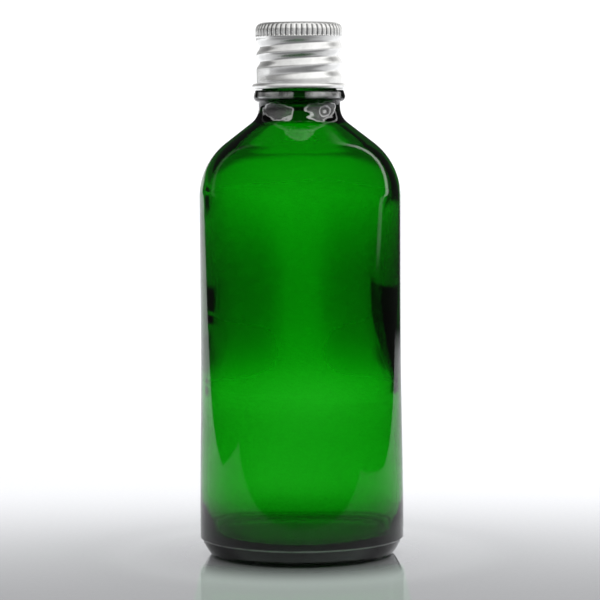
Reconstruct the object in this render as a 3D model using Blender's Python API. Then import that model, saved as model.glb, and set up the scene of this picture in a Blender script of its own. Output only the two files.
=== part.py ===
"""Aftershave bottle: green glass, a pouring ring in its mouth, and an aluminium screw cap with its liner.

The origin is the middle of the face that the bottle stands on, and +Z runs up the axis.
Sizes are in millimetres, and build() turns them into metres.
"""

import math

import bmesh
import bpy

MM = 0.001

# Heights up the axis.
HEEL_LEDGE_Z = 3.75
PANEL_Z = 48.0
SHOULDER_Z = 78.8
COLLAR_BOTTOM_Z = 99.55
COLLAR_TOP_Z = 102.1
LAND_Z = 114.2
CAP_BOTTOM_Z = 102.3
CAP_TOP_Z = 116.8

# The outside of the glass.
BODY_RADIUS = 22.05
PANEL_RADIUS = 22.0
HEEL_RADIUS = 22.45
HEEL_LEDGE = 0.2
HEEL_LEAN = math.radians(24.0)
HEEL_CORNER = 1.0
HEEL_BULGE = 0.12
FOOT_OUTER_RADIUS = 19.85
FOOT_INNER_RADIUS = 17.2
PUNT_RISE = 1.4
SHOULDER_ARC = 14.9
SHOULDER_SLOPE = math.radians(52.5)
NECK_RADIUS = 8.9
NECK_FILLET = 4.3
COLLAR_TOP_RADIUS = 9.72
COLLAR_RADIUS = 10.03
COLLAR_CORNER = 1.1
COLLAR_EDGE = 0.3
LIP_EDGE = 0.6

# The inside of the glass.
WALL = 1.8
BORE_RADIUS = 5.3
BORE_FILLET = 6.0
FLOOR_Z = 4.5
FLOOR_RISE = 0.9
FLOOR_CORNER = 2.2

# The screw thread, which the glass and the cap share. It is right-handed, 8 turns to the inch.
PITCH = 25.4 / 8
RIDGE_Z = 111.28
THREAD_ROOT_RADIUS = 8.0
THREAD_HEIGHT = 0.75
THREAD_BASE = 1.5
THREAD_CREST = 0.7
THREAD_TURNS = 1.6
THREAD_FADE_TURNS = 0.12
THREAD_FOOT = 0.4

# The cap, drawn from sheet.
SHEET = 0.26
CAP_RADIUS = 9.5
CAP_CORNER = 1.7
GROOVED_RADIUS = 9.4
GROOVE_DEPTH = 0.75
GROOVE_START_TURNS = (-0.3, 0.3)
GROOVE_END_TURNS = (-2.45, -2.05)
GROOVES_END_Z = 104.7
SKIRT_RADIUS = 9.31
BEAD_RADIUS = 10.3
CURL_DEGREES = 285.0
FLUTES = 50
FLUTE_DEPTH = 0.22
FLUTE_BOTTOM_Z = 113.8

# The pieces between the cap and the glass.
SEAT_GAP = 0.08
LINER_THICKNESS = 1.4
LINER_RADIUS = 8.5
LINER_TOP_EDGE = 1.2
LINER_FOOT_EDGE = 0.15
FLANGE_RADIUS = 7.1
FLANGE_THICKNESS = 0.7
FLANGE_EDGE = 0.15
PLUG_LENGTH = 7.5
PLUG_GAP = 0.06
PLUG_WALL = 0.9
PLUG_LEAD_IN = (0.5, 1.0)
RIB_HEIGHT = 0.04
RIB_HALF_WIDTH = 0.3
RIBS_ABOVE_FOOT = (2.4, 4.4)
THROAT_RADIUS = 3.6
THROAT_DEPTH = 1.2

GLASS_COLUMNS = 48


def arc(centre, radius, start, end, steps):
    """Points round part of a circle, angles in radians from the outward direction."""
    points = []
    for step in range(steps + 1):
        angle = start + (end - start) * step / steps
        points.append((centre[0] + radius * math.cos(angle), centre[1] + radius * math.sin(angle)))
    return points


def between(low, high, steps):
    """The points inside the span from one (r, z) point to another."""
    points = []
    for step in range(1, steps):
        share = step / steps
        points.append((low[0] + (high[0] - low[0]) * share, low[1] + (high[1] - low[1]) * share))
    return points


def smooth_step(low, high, value):
    """0 below low, 1 above high, and an S-curve from one to the other."""
    share = min(1.0, max(0.0, (value - low) / (high - low)))
    return share * share * (3.0 - 2.0 * share)


def turns_up_helix(start_z, z, angle):
    """How many turns a helix through start_z at angle 0 makes up to its pass nearest this point."""
    here = angle / math.tau
    return here + round((z - start_z) / PITCH - here)


def stitch(bm, ring, following):
    """Fill the band between two rings: a single point, as many points, or twice as many."""
    if len(ring) > len(following):
        ring, following = following, ring
    count = len(ring)
    for i in range(len(following)):
        after = (i + 1) % len(following)
        if count == 1:
            bm.faces.new((ring[0], following[i], following[after]))
        elif count == len(following):
            bm.faces.new((ring[i], ring[after], following[after], following[i]))
        elif i % 2 == 0:
            bm.faces.new((ring[i // 2], following[after], following[i]))
        else:
            bm.faces.new((ring[i // 2], following[after], following[i]))
            bm.faces.new((ring[i // 2], ring[(i // 2 + 1) % count], following[after]))


def build(name, rows, material, closed=False):
    """An object from rows, each one a list of (r, z, angle) points round the axis."""
    bm = bmesh.new()
    rings = []
    for row in rows:
        ring = []
        for radius, z, angle in row:
            place = (radius * math.cos(angle) * MM, radius * math.sin(angle) * MM, z * MM)
            ring.append(bm.verts.new(place))
        rings.append(ring)
    for ring, following in zip(rings, rings[1:]):
        stitch(bm, ring, following)
    if closed:
        stitch(bm, rings[-1], rings[0])
    bmesh.ops.recalc_face_normals(bm, faces=bm.faces[:])
    mesh = bpy.data.meshes.new(name)
    bm.to_mesh(mesh)
    bm.free()
    mesh.shade_smooth()
    mesh.set_sharp_from_angle(angle=math.radians(40.0))
    mesh.materials.append(material)
    obj = bpy.data.objects.new(name, mesh)
    bpy.context.scene.collection.objects.link(obj)
    return obj


def round_row(radius, z, columns, shape=None):
    """One row of points round the axis. shape(z, angle) is added to the radius."""
    if radius == 0.0:
        return [(0.0, z, 0.0)]
    row = []
    for column in range(columns):
        angle = math.tau * column / columns
        row.append((radius + (shape(z, angle) if shape else 0.0), z, angle))
    return row


def round_rows(profile, columns, shape=None):
    return [round_row(radius, z, columns, shape) for radius, z in profile]


def material(name, color, roughness, metallic=0.0):
    made = bpy.data.materials.new(name)
    made.use_nodes = True
    shader = made.node_tree.nodes["Principled BSDF"]
    shader.inputs["Base Color"].default_value = (*color, 1.0)
    shader.inputs["Roughness"].default_value = roughness
    shader.inputs["Metallic"].default_value = metallic
    made.diffuse_color = (*color, 1.0)
    return made


def green_glass():
    made = material("green_glass", (0.01, 0.21, 0.01), 0.03)
    shader = made.node_tree.nodes["Principled BSDF"]
    shader.inputs["Transmission Weight"].default_value = 1.0
    shader.inputs["IOR"].default_value = 1.52
    return made


def brushed_aluminium():
    return material("brushed_aluminium", (0.80, 0.80, 0.78), 0.32, metallic=1.0)


def white_foam():
    return material("white_foam", (0.86, 0.86, 0.84), 0.85)


def natural_polythene():
    return material("natural_polythene", (0.80, 0.82, 0.80), 0.40)


def shoulder(body_radius, arc_radius, neck_radius, fillet):
    """From the top of the straight wall to the foot of the neck: a round shoulder, a cone and a fillet."""
    slope = SHOULDER_SLOPE
    points = arc((body_radius - arc_radius, SHOULDER_Z), arc_radius, 0.0, slope, 8)
    cone_radius, cone_z = points[-1]
    fillet_radius = neck_radius + fillet * (1.0 - math.cos(slope))
    fillet_z = cone_z + (cone_radius - fillet_radius) / math.tan(slope)
    centre = (neck_radius + fillet, fillet_z + fillet * math.sin(slope))
    return points + arc(centre, fillet, math.pi + slope, math.pi, 5)


def base_profile():
    """From the axis out under the punt, over the foot ring and up the heel to its ledge."""
    dome_radius = (FOOT_INNER_RADIUS**2 + PUNT_RISE**2) / (2.0 * PUNT_RISE)
    points = []
    for radius in (0.0, 0.35 * FOOT_INNER_RADIUS, 0.7 * FOOT_INNER_RADIUS, 0.92 * FOOT_INNER_RADIUS):
        points.append((radius, PUNT_RISE - dome_radius + math.sqrt(dome_radius**2 - radius**2)))
    points.append((FOOT_INNER_RADIUS, 0.0))
    corner = arc((FOOT_OUTER_RADIUS, HEEL_CORNER), HEEL_CORNER, -math.pi / 2.0, -HEEL_LEAN, 3)
    ledge = (HEEL_RADIUS - HEEL_LEDGE, HEEL_LEDGE_Z)
    middle = [(radius + HEEL_BULGE, z) for radius, z in between(corner[-1], ledge, 3)]
    return points + corner + middle + [ledge, (HEEL_RADIUS, HEEL_LEDGE_Z + HEEL_LEDGE)]


def body_profile():
    """The straight wall, which draws in a little from the heel to the panel for a label."""
    points = []
    bottom = HEEL_LEDGE_Z + 2.0 * HEEL_LEDGE
    for share in (0.2, 0.4, 0.6, 0.8, 1.0):
        z = bottom + (PANEL_Z - bottom) * share
        points.append((HEEL_RADIUS + (PANEL_RADIUS - HEEL_RADIUS) * smooth_step(bottom, PANEL_Z, z), z))
    points.append((PANEL_RADIUS, (PANEL_Z + SHOULDER_Z) / 2.0))
    return points


def collar_profile():
    """The bead under the cap, from the neck up to the foot of the thread."""
    lean = math.radians(10.0)
    corner = (COLLAR_RADIUS - COLLAR_CORNER, COLLAR_BOTTOM_Z + COLLAR_CORNER)
    edge = (COLLAR_TOP_RADIUS - COLLAR_EDGE, COLLAR_TOP_Z - COLLAR_EDGE)
    points = arc(corner, COLLAR_CORNER, -math.pi / 2.0, lean, 4)
    points += arc(edge, COLLAR_EDGE, lean, math.pi / 2.0, 2)
    points.append((THREAD_ROOT_RADIUS + THREAD_FOOT, COLLAR_TOP_Z))
    points.append((THREAD_ROOT_RADIUS, COLLAR_TOP_Z + THREAD_FOOT))
    return points


def thread_profile():
    """The straight part of the finish that carries the thread, in rows close enough to show its ridge."""
    top = RIDGE_Z + 0.35 * PITCH
    bottom = RIDGE_Z - THREAD_TURNS * PITCH - 0.35 * PITCH
    rows_per_turn = 7
    rows = round((top - bottom) / PITCH * rows_per_turn)
    ends = [(THREAD_ROOT_RADIUS, bottom), (THREAD_ROOT_RADIUS, top)]
    return ends[:1] + between(*ends, rows) + ends[1:]


def thread_ridge(z, angle):
    """How far the thread stands out of the finish here. It fades at both ends."""
    turns = turns_up_helix(RIDGE_Z, z, angle)
    fade = smooth_step(-THREAD_TURNS, THREAD_FADE_TURNS - THREAD_TURNS, turns)
    fade *= 1.0 - smooth_step(-THREAD_FADE_TURNS, 0.0, turns)
    off_centre = abs(z - RIDGE_Z - turns * PITCH)
    flank = (THREAD_BASE / 2.0 - off_centre) / ((THREAD_BASE - THREAD_CREST) / 2.0)
    return THREAD_HEIGHT * fade * min(1.0, max(0.0, flank))


def mouth_profile():
    """Over the lip, from the finish to the bore."""
    outer = arc((THREAD_ROOT_RADIUS - LIP_EDGE, LAND_Z - LIP_EDGE), LIP_EDGE, 0.0, math.pi / 2.0, 3)
    inner_edge = LIP_EDGE / 2.0
    inner = arc((BORE_RADIUS + inner_edge, LAND_Z - inner_edge), inner_edge, math.pi / 2.0, math.pi, 2)
    return outer + inner


def inside_profile():
    """From the foot of the bore down the inside of the wall to the middle of the floor."""
    wall_radius = BODY_RADIUS - WALL
    down = shoulder(wall_radius, SHOULDER_ARC - WALL, BORE_RADIUS, BORE_FILLET)[::-1]
    centre = (wall_radius - FLOOR_CORNER, FLOOR_Z + FLOOR_CORNER)
    corner = arc(centre, FLOOR_CORNER, 0.0, -math.pi / 2.0, 4)
    middle = [(0.5 * centre[0], FLOOR_Z + 0.75 * FLOOR_RISE), (0.0, FLOOR_Z + FLOOR_RISE)]
    return down + corner + middle


def glass_bottle():
    outside = base_profile() + body_profile()
    outside += shoulder(BODY_RADIUS, SHOULDER_ARC, NECK_RADIUS, NECK_FILLET)
    outside += collar_profile()
    rows = round_rows(outside, GLASS_COLUMNS)
    rows += round_rows(thread_profile(), GLASS_COLUMNS, thread_ridge)
    rows += round_rows(mouth_profile() + inside_profile(), GLASS_COLUMNS)
    return build("glass_bottle", rows, green_glass())


def pour_insert():
    """A push-in pouring ring: a flange on the land, a ribbed plug in the bore and a drawn-in throat."""
    flange_z = LAND_Z + SEAT_GAP
    top_z = flange_z + FLANGE_THICKNESS
    plug_radius = BORE_RADIUS - PLUG_GAP
    inner_radius = plug_radius - PLUG_WALL
    throat_z = top_z - THROAT_DEPTH
    foot_z = flange_z - PLUG_LENGTH
    edge_z = top_z - FLANGE_EDGE
    profile = [(FLANGE_RADIUS, flange_z), (FLANGE_RADIUS, edge_z), (FLANGE_RADIUS - FLANGE_EDGE, top_z)]
    profile += [(THROAT_RADIUS + FLANGE_EDGE, top_z), (THROAT_RADIUS, edge_z)]
    profile += [(THROAT_RADIUS, throat_z), (inner_radius, throat_z - (inner_radius - THROAT_RADIUS))]
    profile += [(inner_radius, foot_z), (plug_radius - PLUG_LEAD_IN[0], foot_z)]
    profile.append((plug_radius, foot_z + PLUG_LEAD_IN[1]))
    for rib in RIBS_ABOVE_FOOT:
        profile.append((plug_radius, foot_z + rib - RIB_HALF_WIDTH))
        profile.append((plug_radius + RIB_HEIGHT, foot_z + rib))
        profile.append((plug_radius, foot_z + rib + RIB_HALF_WIDTH))
    profile.append((plug_radius, flange_z))
    return build("pour_insert", round_rows(profile, GLASS_COLUMNS), natural_polythene(), closed=True)


def cap_liner():
    """The foam disc in the top of the cap. Its upper rim is rounded to lie in the cap's corner."""
    top_z = CAP_TOP_Z - SHEET - SEAT_GAP
    bottom_z = top_z - LINER_THICKNESS
    foot = (LINER_RADIUS - LINER_FOOT_EDGE, bottom_z + LINER_FOOT_EDGE)
    rim = (LINER_RADIUS - LINER_TOP_EDGE, top_z - LINER_TOP_EDGE)
    profile = [(0.0, bottom_z)]
    profile += arc(foot, LINER_FOOT_EDGE, -math.pi / 2.0, 0.0, 2)
    profile += arc(rim, LINER_TOP_EDGE, 0.0, math.pi / 2.0, 5)
    profile.append((0.0, top_z))
    return build("cap_liner", round_rows(profile, FLUTES), white_foam())


def rolled_groove(z, angle):
    """How deep the groove rolled into the cap is here. It lies between the turns of the glass thread."""
    start_z = RIDGE_Z + PITCH / 2.0
    turns = turns_up_helix(start_z, z, angle)
    off_centre = z - start_z - turns * PITCH
    depth = GROOVE_DEPTH * (0.5 + 0.5 * math.cos(math.tau * off_centre / PITCH))
    return -depth * smooth_step(*GROOVE_END_TURNS, turns) * (1.0 - smooth_step(*GROOVE_START_TURNS, turns))


def cap_path():
    """Down the middle of the cap's sheet, as (r, z, kind of row)."""
    half = SHEET / 2.0
    side = CAP_RADIUS - half
    path = [(0.0, CAP_TOP_Z - half, "plain")]
    corner = (CAP_RADIUS - CAP_CORNER, CAP_TOP_Z - CAP_CORNER)
    for radius, z in arc(corner, CAP_CORNER - half, math.pi / 2.0, 0.0, 5):
        path.append((radius, z, "plain" if z > CAP_TOP_Z - SHEET else "fluted"))
    path.append((side, FLUTE_BOTTOM_Z + FLUTE_DEPTH, "fluted"))
    path.append((side, FLUTE_BOTTOM_Z, "plain"))
    top = (GROOVED_RADIUS - half, FLUTE_BOTTOM_Z - FLUTE_DEPTH)
    bottom = (SKIRT_RADIUS - half, GROOVES_END_Z)
    for radius, z in [top] + between(top, bottom, 16) + [bottom]:
        path.append((radius, z, "grooved"))
    curl_radius = (BEAD_RADIUS - half - bottom[0]) / 2.0
    curl_centre = (bottom[0] + curl_radius, CAP_BOTTOM_Z + half + curl_radius)
    for radius, z in arc(curl_centre, curl_radius, math.pi, math.pi + math.radians(CURL_DEGREES), 10):
        path.append((radius, z, "plain"))
    return path


def flute(column):
    """The flutes alternate with ribs, one point to each."""
    return -FLUTE_DEPTH if column % 2 else 0.0


def sheet_row(path, index, side):
    """The row of points on one face of the sheet, half its thickness off the middle."""
    radius, z, kind = path[index]
    before = path[max(index - 1, 0)]
    after = path[min(index + 1, len(path) - 1)]
    along = (after[0] - before[0], after[1] - before[1])
    length = math.hypot(*along)
    outward = 0.0 if index == 0 else -along[1] / length
    upward = along[0] / length
    radius += side * outward * SHEET / 2.0
    face_z = z + side * upward * SHEET / 2.0
    if kind == "fluted":
        row = round_row(radius, face_z, 2 * FLUTES)
        return [(r + flute(column), z, angle) for column, (r, z, angle) in enumerate(row)]
    if kind == "grooved":
        return round_row(radius, face_z, FLUTES, rolled_groove)
    return round_row(radius, face_z, FLUTES)


def cap_shell():
    """The sheet cap, outer face from the top down and round the curl, then the inner face back up."""
    path = cap_path()
    rows = [sheet_row(path, index, 1.0) for index in range(len(path))]
    rows += [sheet_row(path, index, -1.0) for index in reversed(range(len(path)))]
    return build("cap_shell", rows, brushed_aluminium())


def clear_scene():
    for obj in list(bpy.data.objects):
        bpy.data.objects.remove(obj, do_unlink=True)


def main():
    clear_scene()
    glass_bottle()
    pour_insert()
    cap_liner()
    cap_shell()


main()
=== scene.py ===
"""Looks for the aftershave bottle: green glass, aluminium cap, foam liner and polythene pouring ring."""

import math

import bpy
import numpy as np
from mathutils import Matrix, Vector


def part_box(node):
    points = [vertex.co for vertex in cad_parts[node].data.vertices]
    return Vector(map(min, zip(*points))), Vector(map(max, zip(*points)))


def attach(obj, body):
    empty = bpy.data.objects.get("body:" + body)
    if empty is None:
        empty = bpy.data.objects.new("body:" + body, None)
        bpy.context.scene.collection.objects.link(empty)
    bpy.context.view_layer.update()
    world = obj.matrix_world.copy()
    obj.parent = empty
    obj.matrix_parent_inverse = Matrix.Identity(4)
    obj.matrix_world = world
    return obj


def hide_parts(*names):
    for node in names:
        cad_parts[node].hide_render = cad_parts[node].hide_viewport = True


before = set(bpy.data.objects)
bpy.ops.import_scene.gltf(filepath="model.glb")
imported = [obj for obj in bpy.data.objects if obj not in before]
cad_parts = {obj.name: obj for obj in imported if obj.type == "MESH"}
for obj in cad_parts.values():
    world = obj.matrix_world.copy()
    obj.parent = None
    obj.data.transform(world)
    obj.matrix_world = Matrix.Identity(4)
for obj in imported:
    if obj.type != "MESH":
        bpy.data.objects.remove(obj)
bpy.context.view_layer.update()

MM = 0.001

# Sizes and outlines are in millimetres, as in the CAD, and a mesh is scaled to metres when it is revolved.

# Heights that the CAD's solids give.
LAND_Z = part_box("glass_bottle")[1].z / MM
CAP_BOTTOM_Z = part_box("cap_shell")[0].z / MM
CAP_TOP_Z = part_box("cap_shell")[1].z / MM
LINER_LOW_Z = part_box("cap_liner")[0].z / MM
LINER_TOP_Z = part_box("cap_liner")[1].z / MM
INSERT_FOOT_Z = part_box("pour_insert")[0].z / MM
INSERT_TOP_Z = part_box("pour_insert")[1].z / MM

# The glass outside.
PUNT_HEIGHT = 1.45
FOOT_INNER_RADIUS = 17.2
FOOT_OUTER_RADIUS = 19.1
FOOT_CORNER = 1.75
HEEL_LEAN = math.radians(30.0)
HEEL_BULGE = 0.1
HEEL_RADIUS = 22.45
HEEL_LEDGE = 0.32
HEEL_LEDGE_Z = 3.75
LIP_RADIUS = 0.12
LIP_Z = HEEL_LEDGE_Z + 0.2
WALL_FOOT_Z = HEEL_LEDGE_Z + 0.3
PANEL_RADIUS = 22.0
PANEL_Z = 48.0
PANEL_END_Z = PANEL_Z + 12.0
BODY_RADIUS = 22.05
SHOULDER_Z = 78.8
SHOULDER_ARC = 14.9
SHOULDER_SLOPE = math.radians(52.5)
NECK_RADIUS = 8.9
NECK_FILLET = 4.3
COLLAR_BOTTOM_Z = 99.55
COLLAR_TOP_Z = 102.1
COLLAR_RADIUS = 10.03
COLLAR_TOP_RADIUS = 9.72
COLLAR_TILT = math.radians(9.0)
COLLAR_LOWER_EDGE = 1.1
COLLAR_UPPER_EDGE = 0.35

# The glass thread and the mouth.
PITCH = 25.4 / 8
RIDGE_Z = 111.28
RIDGE_HALF_WIDTH = 0.52
RIDGE_SLOPE = 0.13
THREAD_ROOT_RADIUS = 8.0
THREAD_FILLET = 0.4
THREAD_FOOT_Z = COLLAR_TOP_Z + 0.6
THREAD_HEIGHT = 0.75
THREAD_TURNS = 1.6
THREAD_RUN_OUT = 0.12
MOUTH_EDGE = 0.6
BORE_EDGE = 0.35

# The glass inside.
WALL = 1.8
BORE_RADIUS = 5.3
BORE_FILLET = 6.0
FLOOR_Z = 3.7
FLOOR_CORNER = 3.0
FLOOR_CROWN = 0.25
SLOW_WAVE = 0.03
FINE_WAVE = 0.012
MIDDLE_THICKER = 0.48
SIDES_THICKER = 0.66
RIGHT_THICKER = 0.3
LOW_THINNER = 0.46
FOOT_THINNER = 0.32

# The cap, one sheet of aluminium.
SHEET = 0.26
CAP_RADIUS = 9.5
CAP_CORNER = 1.7
PLAIN_TOP_RADIUS = 8.2
FLUTES = 50
FLUTE_BOTTOM_Z = 113.75
FLUTE_DEPTH = 0.24
FLUTE_FOOT_DEPTH = 0.12
FLUTE_STEP = 0.35
GROOVED_RADIUS = 9.4
GROOVE_DEPTH = 0.77
GROOVE_START_Z = RIDGE_Z + PITCH / 2.0
GROOVES_END_Z = 104.7
SKIRT_RADIUS = 9.31
SKIRT_END_Z = 103.3
PLAIN_SKIRT_Z = 103.5
BEAD_RADIUS = 10.3
CURL_TURN = math.radians(285.0)

# The foam liner, and the ring that the pouring ring's flange has pressed into it.
LINER_RADIUS = 8.5
LINER_TOP_EDGE = 1.2
LINER_LOW_EDGE = 0.15
PRESSED_RADIUS = 5.6
PRESSED_HALF_WIDTH = 1.1
PRESSED_DEPTH = 0.12

# The pouring ring.
FLANGE_GAP = 0.08
FLANGE_RADIUS = 7.1
FLANGE_EDGE = 0.15
PLUG_RADIUS = BORE_RADIUS - 0.06
PLUG_WALL = 0.9
PLUG_TIP = 0.5
PLUG_TAPER = 1.0
THROAT_RADIUS = 3.6
THROAT_DEPTH = 1.2
PLUG_RIB_HEIGHTS = (2.4, 4.4)
PLUG_RIB_HALF_WIDTH = 0.25
PLUG_RIB = 0.04


# Outlines, as arrays of (r, z) rows.

def arc(centre, radius, start, end, steps):
    angles = np.linspace(start, end, steps + 1)
    return np.column_stack((centre[0] + radius * np.cos(angles), centre[1] + radius * np.sin(angles)))


def line(start, end, steps):
    return np.linspace(start, end, steps + 1)


def smooth_step(low, high, value):
    share = np.clip((value - low) / (high - low), 0.0, 1.0)
    return share * share * (3.0 - 2.0 * share)


def joined(*pieces):
    """One outline from several, dropping the doubled point where one starts at the end of another."""
    rows = [pieces[0]]
    for piece in pieces[1:]:
        same = np.allclose(rows[-1][-1], piece[0], atol=1e-6)
        rows.append(piece[1:] if same else piece)
    return np.vstack(rows)


def shoulder(body_radius, arc_radius, neck_radius, fillet):
    """A round shoulder, a straight slope and a hollow fillet into the neck."""
    slope = SHOULDER_SLOPE
    round_part = arc((body_radius - arc_radius, SHOULDER_Z), arc_radius, 0.0, slope, 26)
    cone_radius, cone_z = round_part[-1]
    fillet_radius = neck_radius + fillet * (1.0 - math.cos(slope))
    fillet_z = cone_z + (cone_radius - fillet_radius) / math.tan(slope)
    centre = (neck_radius + fillet, fillet_z + fillet * math.sin(slope))
    fillet_part = arc(centre, fillet, math.pi + slope, math.pi, 16)
    return joined(round_part, line(round_part[-1], fillet_part[0], 10), fillet_part)


def outside_outline():
    """The glass from the middle of the punt out, up and over to the foot of the thread."""
    radii = np.linspace(0.0, FOOT_INNER_RADIUS - 0.5, 12)
    hollow = np.cos(0.5 * math.pi * radii / FOOT_INNER_RADIUS) ** 0.8
    punt = np.column_stack((radii, PUNT_HEIGHT * hollow))
    foot_edge = (FOOT_INNER_RADIUS + 0.3, 0.0)
    foot = joined(line(punt[-1], foot_edge, 3), line(foot_edge, (FOOT_OUTER_RADIUS, 0.0), 3))
    corner = arc((FOOT_OUTER_RADIUS, FOOT_CORNER), FOOT_CORNER, -math.pi / 2.0, -HEEL_LEAN, 10)
    heel = line(corner[-1], (HEEL_RADIUS - HEEL_LEDGE, HEEL_LEDGE_Z), 12)
    heel[:, 0] += HEEL_BULGE * np.sin(np.linspace(0.0, math.pi, len(heel)))
    lip = arc((HEEL_RADIUS - LIP_RADIUS, LIP_Z), LIP_RADIUS, -math.pi / 2.0, 0.0, 3)
    z = np.linspace(WALL_FOOT_Z, SHOULDER_Z, 64)
    radius = HEEL_RADIUS + (PANEL_RADIUS - HEEL_RADIUS) * smooth_step(HEEL_LEDGE_Z, PANEL_Z, z)
    radius += (BODY_RADIUS - PANEL_RADIUS) * smooth_step(PANEL_END_Z, SHOULDER_Z, z)
    wall = np.column_stack((radius, z))
    neck = shoulder(BODY_RADIUS, SHOULDER_ARC, NECK_RADIUS, NECK_FILLET)
    edge = COLLAR_LOWER_EDGE
    centre = (COLLAR_RADIUS - edge, COLLAR_BOTTOM_Z + edge)
    under_collar = arc(centre, edge, -math.pi / 2.0, COLLAR_TILT, 12)
    edge = COLLAR_UPPER_EDGE
    centre = (COLLAR_TOP_RADIUS - edge, COLLAR_TOP_Z - edge)
    over_collar = arc(centre, edge, COLLAR_TILT, math.pi / 2.0, 8)
    centre = (THREAD_ROOT_RADIUS + THREAD_FILLET, COLLAR_TOP_Z + THREAD_FILLET)
    root = arc(centre, THREAD_FILLET, 1.5 * math.pi, math.pi, 4)
    return joined(punt, foot, corner, heel, lip, wall, neck, under_collar, over_collar, root)


def thread_outline():
    top = RIDGE_Z + 0.5 * PITCH
    return line((THREAD_ROOT_RADIUS, THREAD_FOOT_Z), (THREAD_ROOT_RADIUS, top), 72)


def mouth_outline():
    """Over the lip of the glass, from the thread to the bore."""
    centre = (THREAD_ROOT_RADIUS - MOUTH_EDGE, LAND_Z - MOUTH_EDGE)
    outer = arc(centre, MOUTH_EDGE, 0.0, math.pi / 2.0, 8)
    centre = (BORE_RADIUS + BORE_EDGE, LAND_Z - BORE_EDGE)
    inner = arc(centre, BORE_EDGE, math.pi / 2.0, math.pi, 6)
    return joined(outer, inner)


def inside_outline():
    """Down the bore and the inside of the wall to the middle of the floor."""
    wall_radius = BODY_RADIUS - WALL
    down = shoulder(wall_radius, SHOULDER_ARC - WALL, BORE_RADIUS, BORE_FILLET)[::-1]
    centre = (wall_radius - FLOOR_CORNER, FLOOR_Z + FLOOR_CORNER)
    corner = arc(centre, FLOOR_CORNER, 0.0, -math.pi / 2.0, 12)
    bore = line((BORE_RADIUS, LAND_Z - 0.4), down[0], 20)
    wall = line(down[-1], corner[0], 60)
    radii = np.linspace(centre[0], 0.0, 20)
    crown = np.cos(0.5 * math.pi * radii / centre[0]) ** 1.3
    bottom = np.column_stack((radii, FLOOR_Z + FLOOR_CROWN * crown))
    return joined(bore, down, wall, corner, bottom)


# Shapes that vary round the axis: functions of the row's (r, z) and the angles of its points.

def helix_offset(z, angle, start_z):
    """Height above the nearest pass of a helix with the thread's pitch, and how many turns up it is."""
    here = angle / math.tau
    turns = here + np.round((z - start_z) / PITCH - here)
    return z - start_z - turns * PITCH, turns


def glass_thread(z, angle):
    offset, turns = helix_offset(z, angle, RIDGE_Z)
    begun = smooth_step(-THREAD_TURNS, THREAD_RUN_OUT - THREAD_TURNS, turns)
    ended = smooth_step(-THREAD_RUN_OUT, 0.0, turns)
    height = 0.5 - 0.5 * np.tanh((np.abs(offset) - RIDGE_HALF_WIDTH) / RIDGE_SLOPE)
    return THREAD_HEIGHT * begun * (1.0 - ended) * height


def swelling(z, start, full, fades, end):
    """A share that rises from 0 to 1 up the wall and falls to 0 again."""
    return smooth_step(start, full, z) * (1.0 - smooth_step(fades, end, z))


def wall_waves(radius, z, angle):
    """The uneven inside of blown glass: slow waves, a thick middle, most at the sides, and a thin foot."""
    share = np.clip(radius / 20.0, 0.0, 1.0)
    waves = SLOW_WAVE * np.sin(3.0 * angle + 0.09 * z + 0.6)
    waves += SLOW_WAVE * np.sin(2.0 * angle - 0.12 * z + 2.0)
    waves += FINE_WAVE * np.sin(5.0 * angle + 0.23 * z)
    waves += FINE_WAVE * np.sin(0.4 * z + 2.0 * np.sin(angle))
    side = np.cos(angle)
    thick = MIDDLE_THICKER + SIDES_THICKER * smooth_step(0.12, 0.52, np.abs(side))
    thick = thick + RIGHT_THICKER * smooth_step(0.68, 0.95, side)
    middle = swelling(z, 38.0, 55.0, 58.0, 81.0)
    low = swelling(z, 6.0, 13.0, 32.0, 48.0)
    foot = swelling(z, 5.0, 10.0, 12.0, 28.0)
    return share * (waves - thick * middle + LOW_THINNER * low + FOOT_THINNER * foot)


def rolled_groove(z, angle):
    """The groove rolled into the cap between the turns of the glass thread. It fades at both ends."""
    offset, turns = helix_offset(z, angle, GROOVE_START_Z)
    phase = np.abs(offset) / (0.5 * PITCH)
    groove = 0.5 + 0.5 * np.cos(math.pi * np.clip(phase, 0.0, 1.0) ** 0.85)
    begun = smooth_step(-2.45, -2.05, turns)
    ended = smooth_step(-0.3, 0.3, turns)
    return -GROOVE_DEPTH * groove * begun * (1.0 - ended)


def flutes(z, angle):
    """Narrow pressed flutes between broad ribs, deepest at their foot, where they end in a step."""
    depth = np.clip(np.cos(FLUTES * angle) + 0.1, 0.0, 1.0) ** 1.3
    foot = smooth_step(FLUTE_BOTTOM_Z, FLUTE_BOTTOM_Z + 0.25, z)
    high = smooth_step(FLUTE_BOTTOM_Z + 0.2, FLUTE_BOTTOM_Z + 1.0, z)
    deepest = FLUTE_DEPTH + FLUTE_FOOT_DEPTH * (1.0 - high)
    return -deepest * depth * foot * (1.0 - smooth_step(CAP_TOP_Z - 0.9, CAP_TOP_Z - 0.2, z))


# Meshes.

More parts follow.
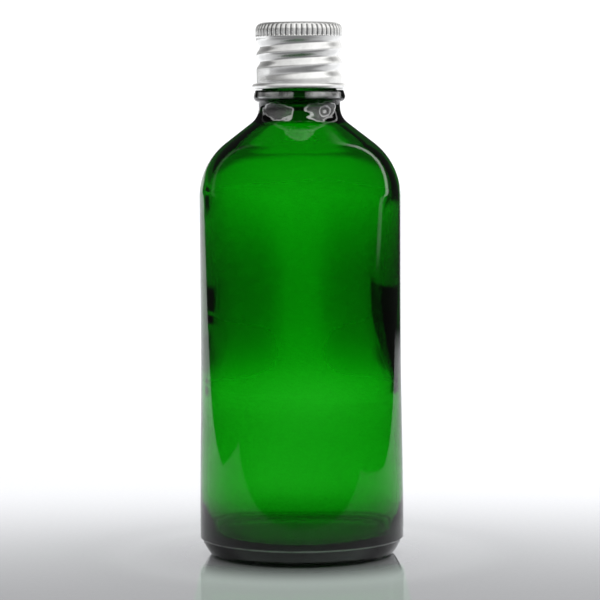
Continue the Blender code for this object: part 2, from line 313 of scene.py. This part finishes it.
def grid_mesh(name, rings, closed=False):
    """A mesh from an array of rings, (rows, columns, 3). A ring on the axis becomes one point."""
    rows, columns, _ = rings.shape
    points = []
    starts = []
    for ring in rings:
        starts.append(len(points))
        on_axis = np.abs(ring[:, :2]).max() < 1e-9
        points.extend(ring[:1].tolist() if on_axis else ring.tolist())
    sizes = np.diff(starts + [len(points)])
    faces = []
    pairs = list(zip(range(rows - 1), range(1, rows)))
    if closed:
        pairs.append((rows - 1, 0))
    for low, high in pairs:
        for i in range(columns):
            j = (i + 1) % columns
            a, b = starts[low] + i, starts[low] + j
            c, d = starts[high] + j, starts[high] + i
            if sizes[low] == 1:
                faces.append((starts[low], c, d))
            elif sizes[high] == 1:
                faces.append((a, b, starts[high]))
            else:
                faces.append((a, b, c, d))
    mesh = bpy.data.meshes.new(name)
    mesh.from_pydata(points, [], faces)
    mesh.update()
    mesh.shade_smooth()
    return mesh


def add_object(name, mesh, material, body, node):
    obj = bpy.data.objects.new(name, mesh)
    bpy.context.scene.collection.objects.link(obj)
    mesh.materials.append(material)
    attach(obj, body)
    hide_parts(node)


def revolve(outline, columns, shape=None):
    """Rings, in metres, of an outline turned round the axis. shape(r, z, angle) is added to the radius."""
    angle = np.linspace(0.0, math.tau, columns, endpoint=False)[None, :]
    radius = outline[:, :1] + np.zeros_like(angle)
    z = outline[:, 1:] + np.zeros_like(angle)
    if shape is not None:
        radius = radius + shape(radius, z, angle)
    return np.stack((radius * np.cos(angle), radius * np.sin(angle), z), axis=2) * MM


def glass_rings():
    """The whole skin of the glass, from the punt up the outside and down the inside to the floor."""
    columns = 180
    outside = revolve(outside_outline(), columns)
    thread = revolve(thread_outline(), columns, lambda r, z, a: glass_thread(z, a))
    mouth = revolve(mouth_outline(), columns)
    inside = revolve(inside_outline(), columns, wall_waves)
    return np.concatenate((outside, thread, mouth, inside))


def cap_path():
    """Down the middle of the cap's sheet, from the middle of the top to the end of the curl."""
    half = SHEET / 2.0
    top_z = CAP_TOP_Z - half
    side = CAP_RADIUS - half
    skirt = SKIRT_RADIUS - half
    edge = arc((CAP_RADIUS - CAP_CORNER, CAP_TOP_Z - CAP_CORNER), CAP_CORNER - half, math.pi / 2.0, 0.0, 18)
    disc = line((0.0, top_z), edge[0], 14)
    wall = line(edge[-1], (side, FLUTE_BOTTOM_Z), 18)
    step = line((side, FLUTE_BOTTOM_Z), (GROOVED_RADIUS - half, FLUTE_BOTTOM_Z - FLUTE_STEP), 4)
    grooved = line(step[-1], (skirt, GROOVES_END_Z), 72)
    lower = line(grooved[-1], (skirt, SKIRT_END_Z), 5)
    curl = (BEAD_RADIUS - half - skirt) / 2.0
    centre = (skirt + curl, CAP_BOTTOM_Z + half + curl)
    roll = arc(centre, curl, math.pi, math.pi + CURL_TURN, 26)
    return joined(disc, edge, wall, step, grooved, lower, roll)


def cap_rings():
    """Both faces of the sheet, half its thickness to either side of its middle."""
    path = cap_path()
    along = np.gradient(path, axis=0)
    along /= np.linalg.norm(along, axis=1)[:, None]
    normal = np.column_stack((-along[:, 1], along[:, 0]))
    normal[0] = (0.0, 1.0)

    def shape(radius, z, angle):
        in_wall = (radius > PLAIN_TOP_RADIUS) & (z > PLAIN_SKIRT_Z)
        return np.where(in_wall, flutes(z, angle) + rolled_groove(z, angle), 0.0)

    columns = 6 * FLUTES
    outer = revolve(path + normal * SHEET / 2.0, columns, shape)
    inner = revolve(path - normal * SHEET / 2.0, columns, shape)
    return np.concatenate((outer, inner[::-1]))


def liner_rings():
    low = LINER_LOW_Z
    top = LINER_TOP_Z
    low_radius = LINER_RADIUS - LINER_LOW_EDGE
    top_radius = LINER_RADIUS - LINER_TOP_EDGE
    outline = joined(
        line((0.0, low), (low_radius, low), 24),
        arc((low_radius, low + LINER_LOW_EDGE), LINER_LOW_EDGE, -math.pi / 2.0, 0.0, 4),
        arc((top_radius, top - LINER_TOP_EDGE), LINER_TOP_EDGE, 0.0, math.pi / 2.0, 10),
        line((top_radius, top), (0.0, top), 10),
    )
    off = (outline[:, 0] - PRESSED_RADIUS) / PRESSED_HALF_WIDTH
    underside = outline[:, 1] < low + 0.05
    outline[:, 1] += PRESSED_DEPTH * np.exp(-(off**4)) * underside
    return revolve(outline, 96)


def insert_rings():
    """A flange on the lip of the glass, a throat, and a ribbed plug in the bore."""
    flange_z = LAND_Z + FLANGE_GAP
    top = INSERT_TOP_Z
    foot = INSERT_FOOT_Z
    plug = PLUG_RADIUS
    inner = plug - PLUG_WALL
    throat = THROAT_RADIUS
    throat_z = top - THROAT_DEPTH
    edge = FLANGE_EDGE
    outline = joined(
        line((FLANGE_RADIUS, flange_z), (FLANGE_RADIUS, top - edge), 3),
        arc((FLANGE_RADIUS - edge, top - edge), edge, 0.0, math.pi / 2.0, 4),
        line((FLANGE_RADIUS - edge, top), (throat + edge, top), 8),
        arc((throat + edge, top - edge), edge, math.pi / 2.0, math.pi, 4),
        line((throat, top - edge), (throat, throat_z), 4),
        line((throat, throat_z), (inner, throat_z - (inner - throat)), 5),
        line((inner, throat_z - (inner - throat)), (inner, foot + 0.1), 14),
        line((inner, foot + 0.1), (inner + 0.1, foot), 1),
        line((inner + 0.1, foot), (plug - PLUG_TIP, foot), 2),
        line((plug - PLUG_TIP, foot), (plug, foot + PLUG_TAPER), 4),
        line((plug, foot + PLUG_TAPER), (plug, flange_z), 48),
    )
    on_plug = (outline[:, 0] > plug - 0.01) & (outline[:, 1] < flange_z - 0.5)
    for rib in PLUG_RIB_HEIGHTS:
        off = (outline[:, 1] - foot - rib) / PLUG_RIB_HALF_WIDTH
        outline[:, 0] += PLUG_RIB * on_plug * np.exp(-(off**2))
    return revolve(outline[:-1], 96)


# Materials.

class Graph:
    """A node tree with short calls for the nodes used here."""

    def __init__(self, tree):
        self.tree = tree
        tree.nodes.clear()

    def node(self, kind, inputs=None, **settings):
        made = self.tree.nodes.new(kind)
        for key, value in settings.items():
            setattr(made, key, value)
        for key, value in (inputs or {}).items():
            if isinstance(value, bpy.types.NodeSocket):
                self.tree.links.new(value, made.inputs[key])
            else:
                made.inputs[key].default_value = value
        return made

    def math(self, operation, *values):
        return self.node("ShaderNodeMath", dict(enumerate(values)), operation=operation).outputs[0]

    def ramp(self, value, low, high, to_low=0.0, to_high=1.0):
        inputs = {"Value": value, "From Min": low, "From Max": high, "To Min": to_low, "To Max": to_high}
        return self.node("ShaderNodeMapRange", inputs, interpolation_type="SMOOTHSTEP").outputs[0]

    def coordinates(self, source="Object"):
        return self.node("ShaderNodeTexCoord").outputs[source]

    def split(self, vector):
        return self.node("ShaderNodeSeparateXYZ", {0: vector}).outputs

    def noise(self, vector, scale, detail, roughness=0.5):
        inputs = {"Vector": vector, "Scale": scale, "Detail": detail, "Roughness": roughness}
        return self.node("ShaderNodeTexNoise", inputs).outputs["Fac"]

    def stretched(self, vector, scale):
        return self.node("ShaderNodeMapping", {"Vector": vector, "Scale": scale}).outputs[0]

    def colors(self, factor, low, high):
        inputs = {0: factor, 6: (*low, 1.0), 7: (*high, 1.0)}
        return self.node("ShaderNodeMix", inputs, data_type="RGBA").outputs[2]

    def bump(self, height, distance):
        inputs = {"Height": height, "Distance": distance, "Strength": 1.0}
        return self.node("ShaderNodeBump", inputs).outputs[0]


def new_graph(name):
    material = bpy.data.materials.new(name)
    material.use_nodes = True
    return material, Graph(material.node_tree)


def around(g, x, y):
    """The angle round the axis, and the distance from it."""
    distance = g.math("SQRT", g.math("ADD", g.math("MULTIPLY", x, x), g.math("MULTIPLY", y, y)))
    return g.math("ARCTAN2", x, y), distance


def window(g, value, low, high, soft):
    """1 between low and high and 0 outside, with soft edges."""
    above = g.ramp(value, low - soft, low + soft)
    return g.math("MULTIPLY", above, g.ramp(value, high + soft, high - soft))


def blend(g, low, high, factor):
    """low where the factor is 0 and high where it is 1."""
    return g.math("ADD", low, g.math("MULTIPLY", g.math("SUBTRACT", high, low), factor))


# The frosted patches, in metres: a ring on each side of the neck, a spot in the right one, bands on the
# collar and the line of the heel's ledge.
SCUFF_X = 0.0047
SCUFF_HALF_WIDTH = 0.0034
SCUFF_Z = 0.0974
SCUFF_HALF_HEIGHT = 0.0019
SPOT_X = 0.0055
COLLAR_BAND = (0.1003, 0.1016)
COLLAR_BAND_SIDES = (0.0014, 0.0088)
LEDGE_BAND = (0.00362, 0.00398)


def scuffs(g, place):
    """Where the glass is frosted by wear, from 0 to 1."""
    x, _, z = g.split(place)
    wobble = g.math("SUBTRACT", g.noise(g.stretched(place, (1.0, 1.0, 1.4)), 380.0, 1.5), 0.5)
    across = g.math("ABSOLUTE", x)
    inward = g.math("DIVIDE", g.math("SUBTRACT", across, SCUFF_X), SCUFF_HALF_WIDTH)
    up = g.math("DIVIDE", g.math("SUBTRACT", z, SCUFF_Z), SCUFF_HALF_HEIGHT)
    spread = g.math("SQRT", g.math("ADD", g.math("POWER", inward, 2.0), g.math("POWER", up, 2.0)))
    spread = g.math("ADD", spread, g.math("MULTIPLY", wobble, 1.3))
    rim = window(g, spread, 0.86, 1.0, 0.03)
    film = g.ramp(spread, 0.9, 0.8, 0.0, 0.1)
    aside = g.math("DIVIDE", g.math("SUBTRACT", x, SPOT_X), SCUFF_HALF_HEIGHT)
    middle = g.math("SQRT", g.math("ADD", g.math("POWER", aside, 2.0), g.math("POWER", up, 2.0)))
    middle = g.math("ADD", middle, g.math("MULTIPLY", wobble, 0.6))
    spot = g.math("ADD", window(g, middle, 0.52, 0.66, 0.05), g.ramp(middle, 0.28, 0.18))
    neck = g.math("MAXIMUM", g.math("MAXIMUM", rim, film), spot)
    uneven = g.math("ADD", 0.75, g.math("MULTIPLY", wobble, 3.0))
    sides = window(g, across, *COLLAR_BAND_SIDES, 0.0003)
    collar = g.math("MULTIPLY", window(g, z, *COLLAR_BAND, 0.0001), sides)
    collar = g.math("MULTIPLY", collar, g.math("MAXIMUM", uneven, 0.1))
    ledge = g.math("MULTIPLY", window(g, z, *LEDGE_BAND, 0.00005), 0.7)
    return g.math("MAXIMUM", g.math("MAXIMUM", neck, collar), ledge)


def glass_material():
    """Clear green glass, faintly rippled, with frosted scuffs and a few specks of dust."""
    material, g = new_graph("green_glass")
    place = g.coordinates()
    ripple = g.noise(g.stretched(place, (1.0, 1.0, 0.35)), 120.0, 1.0)
    peel = g.noise(place, 900.0, 2.0)
    height = g.math("ADD", g.math("MULTIPLY", ripple, 0.8), g.math("MULTIPLY", peel, 0.04))
    dust = g.node("ShaderNodeTexVoronoi", {"Vector": place, "Scale": 130.0, "Randomness": 1.0})
    speck = g.ramp(dust.outputs["Distance"], 0.035, 0.02)
    rare = g.ramp(g.split(dust.outputs["Color"])[0], 0.92, 0.93)
    rough = g.math("MAXIMUM", g.math("MULTIPLY", speck, rare), scuffs(g, place))
    smear = g.ramp(g.noise(place, 60.0, 4.0, 0.6), 0.4, 0.7, 0.0, 0.003)
    roughness = g.math("ADD", g.math("MULTIPLY", rough, 0.16), smear)
    shader = g.node(
        "ShaderNodeBsdfPrincipled",
        {
            "Base Color": (1.0, 1.0, 1.0, 1.0),
            "Roughness": roughness,
            "IOR": 1.52,
            "Transmission Weight": 1.0,
            "Coat Weight": rough,
            "Coat Roughness": 0.25,
            "Coat IOR": 3.6,
            "Normal": g.bump(height, 0.00006),
        },
    )
    green = (0.05, 0.805, 0.03, 1.0)
    absorption = g.node("ShaderNodeVolumeAbsorption", {"Color": green, "Density": 1900.0})
    g.node("ShaderNodeOutputMaterial", {"Surface": shader.outputs[0], "Volume": absorption.outputs[0]})
    return material


def aluminium_material():
    """Satin aluminium: fine lines round the cap, a faint mottle and painted shade in the flutes."""
    material, g = new_graph("brushed_aluminium")
    place = g.coordinates()
    x, y, z = g.split(place)
    angle = g.math("ARCTAN2", y, x)
    radius = g.math("SQRT", g.math("ADD", g.math("MULTIPLY", x, x), g.math("MULTIPLY", y, y)))
    across = g.math("ADD", z, radius)
    along = g.math("MULTIPLY", angle, 0.006)
    lines = g.node("ShaderNodeCombineXYZ", {0: along, 1: across, 2: 0.0}).outputs[0]
    brushed = g.noise(lines, 6000.0, 3.0, 0.6)
    mottle = g.noise(place, 450.0, 3.0)
    flute = g.math("COSINE", g.math("MULTIPLY", angle, float(FLUTES)))
    knurl = window(g, z, FLUTE_BOTTOM_Z * MM, (CAP_TOP_Z - 0.5) * MM, 0.0002)
    # Painted shade: the base colour darkens in the flutes of the knurl, where shade falls between the ribs.
    painted_flute_shade = g.math("MULTIPLY", g.ramp(flute, 0.25, 0.9), g.math("MULTIPLY", knurl, 0.62))
    shade = g.math("SUBTRACT", g.ramp(mottle, 0.2, 0.8, 0.74, 0.86), painted_flute_shade)
    blue = g.math("MULTIPLY", shade, 0.982)
    color = g.node("ShaderNodeCombineColor", {0: shade, 1: shade, 2: blue}).outputs[0]
    grain = g.noise(place, 1400.0, 2.0)
    height = g.math("ADD", brushed, g.math("MULTIPLY", grain, 0.5))
    shader = g.node(
        "ShaderNodeBsdfPrincipled",
        {
            "Base Color": color,
            "Metallic": 1.0,
            "Roughness": g.ramp(brushed, 0.3, 0.7, 0.14, 0.24),
            "Normal": g.bump(height, 0.000012),
        },
    )
    g.node("ShaderNodeOutputMaterial", {"Surface": shader.outputs[0]})
    return material


def foam_material():
    """White foam with fine open cells and a faint mottle."""
    material, g = new_graph("white_foam")
    place = g.coordinates()
    cells = g.node("ShaderNodeTexVoronoi", {"Vector": place, "Scale": 3200.0}).outputs["Distance"]
    color = g.colors(g.noise(place, 700.0, 3.0), (0.80, 0.80, 0.77), (0.90, 0.90, 0.88))
    shader = g.node(
        "ShaderNodeBsdfPrincipled",
        {"Base Color": color, "Roughness": 0.82, "Normal": g.bump(cells, 0.00008)},
    )
    g.node("ShaderNodeOutputMaterial", {"Surface": shader.outputs[0]})
    return material


def polythene_material():
    """Milky polythene that lets light in a little, with a fine moulded grain."""
    material, g = new_graph("natural_polythene")
    place = g.coordinates()
    grain = g.noise(place, 1600.0, 3.0)
    color = g.colors(g.noise(place, 300.0, 2.0), (0.78, 0.80, 0.78), (0.86, 0.88, 0.86))
    shader = g.node(
        "ShaderNodeBsdfPrincipled",
        {
            "Base Color": color,
            "Roughness": g.ramp(grain, 0.3, 0.7, 0.30, 0.45),
            "Subsurface Weight": 0.35,
            "Subsurface Radius": (0.001, 0.001, 0.001),
            "Subsurface Scale": 1.0,
            "Normal": g.bump(grain, 0.00002),
        },
    )
    g.node("ShaderNodeOutputMaterial", {"Surface": shader.outputs[0]})
    return material


# The stage: a table of pale glossy paper, with painted shade darkening it in front of the bottle, in a soft
# white room. The photo's glass has the black edges and dark bands that black cards give, so rays that
# polished glass mirrors or lets through meet cards and strip lights here. The cap mirrors a room that is
# darker in front, and every other ray meets the plain room. Distances are in metres, angles in radians from
# the back towards the right.

CARD_DISTANCE = 0.60
CARD_TONE = 0.03
CARDS_FADE = 0.95
CARDS_END = 1.35
RIGHT_CARD_EDGE = (0.29, 0.33)
LEFT_CARD_EDGE = (-0.53, -0.55)
LEFT_SLAT = (-0.41, -0.39)

PAPER_FRONT = -0.082
PAPER_LEFT = 0.198
PAPER_RIGHT = 0.185
PAPER_EDGE = 0.006

TABLE_HALF = 30.0
# The paper's grey with painted light and shade: painted shade in front of the bottle, brighter behind it and
# far off to the sides.
FRONT_TONE = 0.345
BACK_TONE = 0.82
FAR_TONE = 0.85


def glass_rays(g):
    """Whether a ray was mirrored by polished glass, and whether it came through it."""
    path = g.node("ShaderNodeLightPath").outputs
    through = g.math("MULTIPLY", path["Is Singular Ray"], path["Is Transmission Ray"])
    return g.math("SUBTRACT", path["Is Singular Ray"], through), through


def metal_rays(g):
    """Whether a ray was mirrored by a surface less polished than glass, such as the cap."""
    path = g.node("ShaderNodeLightPath").outputs
    return g.math("MULTIPLY", path["Is Glossy Ray"], g.math("SUBTRACT", 1.0, path["Is Singular Ray"]))


def right_card(g, angle):
    return g.math("MULTIPLY", g.ramp(angle, *RIGHT_CARD_EDGE), g.ramp(angle, CARDS_END, CARDS_FADE))


def left_card(g, angle):
    """The left card, and the narrow slat beside it."""
    card = g.math("MULTIPLY", g.ramp(angle, -CARDS_END, -CARDS_FADE), g.ramp(angle, *LEFT_CARD_EDGE))
    return g.math("MAXIMUM", card, window(g, angle, *LEFT_SLAT, 0.005))


def beyond_cards(g, card, distance):
    """A card stands this far off, so it hides the paper beyond."""
    return g.math("MULTIPLY", card, g.ramp(distance, CARD_DISTANCE - 0.15, CARD_DISTANCE + 0.02))


def mirrored_paper(g, x, y, angle, distance):
    """How much of the paper the polished glass mirrors. The rest is hidden by black cards."""
    left = g.math("MULTIPLY", g.math("ABSOLUTE", g.math("SUBTRACT", y, 0.02)), 0.66)
    left = g.math("ADD", g.math("ADD", x, left), PAPER_LEFT)
    right = g.math("MULTIPLY", g.math("MAXIMUM", g.math("SUBTRACT", y, 0.04), 0.0), 0.55)
    right = g.math("SUBTRACT", g.math("ADD", right, PAPER_RIGHT), x)
    sides = [g.ramp(side, -PAPER_EDGE, PAPER_EDGE) for side in (left, right)]
    front = g.ramp(y, PAPER_FRONT - PAPER_EDGE, PAPER_FRONT + PAPER_EDGE)
    front = g.math("MULTIPLY", front, g.ramp(x, -0.1, 0.1, 0.8, 0.6))
    paper = g.math("MULTIPLY", g.math("MULTIPLY", *sides), front)
    hidden = beyond_cards(g, right_card(g, angle), distance)
    paper = g.math("MULTIPLY", paper, g.math("SUBTRACT", 1.0, hidden))
    close = g.ramp(distance, 0.12, 0.04, 0.0, 0.9)
    edge = g.math("ADD", 1.19, g.math("DIVIDE", 0.25, distance))
    stripe = g.ramp(g.math("ABSOLUTE", g.math("SUBTRACT", angle, edge)), 0.08, 0.03, 0.0, 0.5)
    stripe = g.math("MULTIPLY", stripe, g.ramp(distance, 0.95, 1.3))
    return g.math("MAXIMUM", g.math("MAXIMUM", paper, close), stripe)


def floor_tone_with_painted_light(g, x, y, distance):
    """The paper's grey with painted light and shade: painted shade darker just in front of the bottle, a
    painted shadow darkest under it, painted light brighter close round it.
    """
    # Painted shade and light: darker towards the front of the bottle, brighter behind it, paler again far in
    # front and far to the sides.
    tone = g.math("ADD", g.ramp(y, -0.075, 0.115, FRONT_TONE, BACK_TONE), g.ramp(y, 0.15, 1.5, 0.0, 0.03))
    tone = g.math("ADD", tone, g.ramp(y, -0.12, -0.5, 0.0, 0.4))
    tone = blend(g, tone, FAR_TONE, g.ramp(g.math("ABSOLUTE", x), 0.12, 0.9))
    # Painted contact shadow under the bottle's foot.
    tone = g.math("MULTIPLY", tone, g.ramp(distance, 0.0165, 0.0205, 0.2, 1.0))
    # Painted light close round the foot, brightening the paper against the bottle's own shadow.
    return g.math("MULTIPLY", tone, g.ramp(distance, 0.02, 0.05, 1.28, 1.0))


def floor_material():
    """Glossy paper, with a painted patch of the green light that the bottle throws in front of it."""
    material, g = new_graph("table")
    place = g.coordinates()
    x, y, _ = g.split(place)
    angle, distance = around(g, x, y)
    speckle = g.noise(place, 900.0, 3.0)
    tone = g.math("MULTIPLY", floor_tone_with_painted_light(g, x, y, distance), g.ramp(speckle, 0.2, 0.8, 0.985, 1.015))
    # Painted light: a green tint in the paper's colour in front of the bottle, where the green glass would
    # throw light.
    painted_green_light = g.math("MULTIPLY", g.ramp(g.math("ABSOLUTE", x), 0.0222, 0.0212), g.ramp(y, -0.012, -0.02))
    painted_green_light = g.math("MULTIPLY", painted_green_light, g.ramp(distance, 0.12, 0.06))
    red = g.math("MULTIPLY", tone, g.math("SUBTRACT", 1.0, g.math("MULTIPLY", painted_green_light, 0.07)))
    green = g.math("MULTIPLY", tone, g.math("ADD", 1.008, g.math("MULTIPLY", painted_green_light, 0.04)))
    blue = g.math("MULTIPLY", tone, g.math("SUBTRACT", 1.035, g.math("MULTIPLY", painted_green_light, 0.05)))
    color = g.node("ShaderNodeCombineColor", {0: red, 1: green, 2: blue}).outputs[0]
    diffuse = g.node("ShaderNodeBsdfDiffuse", {"Color": color})
    roughness = g.ramp(speckle, 0.2, 0.8, 0.03, 0.05)
    polish = g.node("ShaderNodeBsdfGlossy", {"Color": color, "Roughness": roughness})
    share = g.math("MULTIPLY", g.ramp(distance, 0.022, 0.041, 0.82, 0.24), g.ramp(distance, 0.4, 0.15))
    surface = g.node("ShaderNodeMixShader", {0: share, 1: diffuse.outputs[0], 2: polish.outputs[0]})
    mirrored, through = glass_rays(g)
    left = g.math("MULTIPLY", left_card(g, angle), g.ramp(distance, 1.75, 1.6))
    card = beyond_cards(g, g.math("MAXIMUM", right_card(g, angle), left), distance)
    unseen = g.math("SUBTRACT", 1.0, mirrored_paper(g, x, y, angle, distance))
    dark = g.math("ADD", g.math("MULTIPLY", card, through), g.math("MULTIPLY", mirrored, unseen))
    front = g.math("MULTIPLY", metal_rays(g), g.ramp(y, -0.02, -0.08, 0.0, 0.5))
    dark = g.math("MAXIMUM", dark, front)
    black = g.node("ShaderNodeBsdfDiffuse", {"Color": (0.02, 0.02, 0.02, 1.0)})
    mix = g.node("ShaderNodeMixShader", {0: dark, 1: surface.outputs[0], 2: black.outputs[0]})
    g.node("ShaderNodeOutputMaterial", {"Surface": mix.outputs[0]})
    return material


def strip_lights(g, x, z, angle):
    """Two thin lights behind the bottle, which lean in over it. The right one is brighter."""
    lean = g.math("ADD", g.ramp(z, 0.7, 0.05, 0.72, 1.06), g.ramp(z, 0.06, -0.08, 0.0, 0.2))
    off = g.math("ABSOLUTE", g.math("SUBTRACT", g.math("ABSOLUTE", angle), lean))
    strip = g.math("MULTIPLY", g.ramp(off, 0.09, 0.03), g.ramp(z, 0.9, 0.65))
    return g.math("MULTIPLY", strip, g.ramp(x, -0.2, 0.2, 0.15, 1.9))


def cards_through_glass(g, angle, z):
    """The black cards and the batten high up that are seen through the glass."""
    high = g.math("MULTIPLY", g.ramp(angle, -CARDS_END, -CARDS_FADE), g.ramp(angle, -0.09, -0.15))
    high = g.math("MULTIPLY", high, g.ramp(z, 0.1, 0.24))
    low = g.math("MULTIPLY", left_card(g, angle), g.ramp(z, 0.07, 0.05))
    batten = g.math("MULTIPLY", window(g, z, 0.1, 0.6, 0.03), 0.7)
    left = g.math("MAXIMUM", high, low)
    return g.math("MAXIMUM", right_card(g, angle), g.math("MAXIMUM", left, batten))


def room_light():
    """The room as plain surfaces, the cap, the camera and the glass each see it."""
    world = bpy.data.worlds.new("room")
    bpy.context.scene.world = world
    world.use_nodes = True
    g = Graph(world.node_tree)
    x, y, z = g.split(g.coordinates("Generated"))
    angle, _ = around(g, x, y)
    mirrored, through = glass_rays(g)
    overhead = g.math("MULTIPLY", g.ramp(z, 0.12, 0.45), g.ramp(y, 0.5, -0.3, 0.2, 0.9))
    room = g.math("ADD", g.math("ADD", 0.85, g.math("MULTIPLY", x, 0.3)), overhead)
    front = g.math("ADD", g.ramp(x, -0.9, 0.9, 0.27, 0.78), g.ramp(z, 0.12, 0.5, 0.0, 0.5))
    rear = g.math("MULTIPLY", g.ramp(x, -0.5, 0.3, 0.45, 1.1), g.ramp(z, 0.2, 0.6, 1.0, 0.4))
    seen_by_metal = blend(g, front, rear, g.ramp(y, 0.0, 0.4))
    seen_through = blend(g, 1.15, 0.01, cards_through_glass(g, angle, z))
    background = g.math("MULTIPLY", window(g, angle, -0.52, 0.14, 0.02), g.ramp(z, 0.14, 0.05))
    seen_mirrored = g.math("ADD", g.math("ADD", CARD_TONE, background), strip_lights(g, x, z, angle))
    strength = blend(g, room, seen_by_metal, metal_rays(g))
    camera = g.node("ShaderNodeLightPath").outputs["Is Camera Ray"]
    strength = blend(g, strength, 1.1, camera)
    strength = blend(g, strength, seen_through, through)
    strength = blend(g, strength, seen_mirrored, mirrored)
    shader = g.node("ShaderNodeBackground", {"Color": (1.0, 1.0, 1.0, 1.0), "Strength": strength})
    g.node("ShaderNodeOutputWorld", {"Surface": shader.outputs[0]})


def table_top():
    half = TABLE_HALF
    mesh = bpy.data.meshes.new("table_top")
    corners = [(-half, -half, 0.0), (half, -half, 0.0), (half, half, 0.0), (-half, half, 0.0)]
    mesh.from_pydata(corners, [], [(0, 1, 2, 3)])
    mesh.materials.append(floor_material())
    obj = bpy.data.objects.new("table_top", mesh)
    obj.location.z = -0.02 * MM
    bpy.context.scene.collection.objects.link(obj)


# The photo's camera: its place in metres, its angles in degrees and its lens in millimetres. How far off it
# stands comes from the perspective of the heel.
CAMERA_PLACE = (-0.00013, -0.59, 0.09886)
CAMERA_TIP = 4.15
CAMERA_ROLL = -0.35
SENSOR_WIDTH = 36.0
FOCAL_LENGTH = 161.4


def photo_camera():
    """A long lens level with the neck, tipped down a little."""
    scene = bpy.context.scene
    camera = bpy.data.cameras.new("camera")
    camera.sensor_width = SENSOR_WIDTH
    camera.lens = FOCAL_LENGTH
    obj = bpy.data.objects.new("camera", camera)
    tilt = math.radians(90.0 - CAMERA_TIP)
    roll = math.radians(CAMERA_ROLL)
    turn = Matrix.Rotation(tilt, 4, "X") @ Matrix.Rotation(roll, 4, "Z")
    obj.matrix_world = Matrix.Translation(CAMERA_PLACE) @ turn
    scene.collection.objects.link(obj)
    scene.camera = obj


def render_settings():
    """Enough bounces for both walls of the glass, and no mirrored caustics."""
    scene = bpy.context.scene
    scene.view_settings.view_transform = "Standard"
    scene.cycles.max_bounces = 24
    scene.cycles.transmission_bounces = 20
    scene.cycles.glossy_bounces = 8
    scene.cycles.caustics_reflective = False


def main():
    glass = grid_mesh("bottle_glass", glass_rings())
    add_object("bottle_glass", glass, glass_material(), "bottle", "glass_bottle")
    plug = grid_mesh("insert_plug", insert_rings(), closed=True)
    add_object("insert_plug", plug, polythene_material(), "bottle", "pour_insert")
    disc = grid_mesh("liner_disc", liner_rings())
    add_object("liner_disc", disc, foam_material(), "liner", "cap_liner")
    sheet = grid_mesh("cap_sheet", cap_rings())
    add_object("cap_sheet", sheet, aluminium_material(), "cap", "cap_shell")
    table_top()
    room_light()
    photo_camera()
    render_settings()


main()
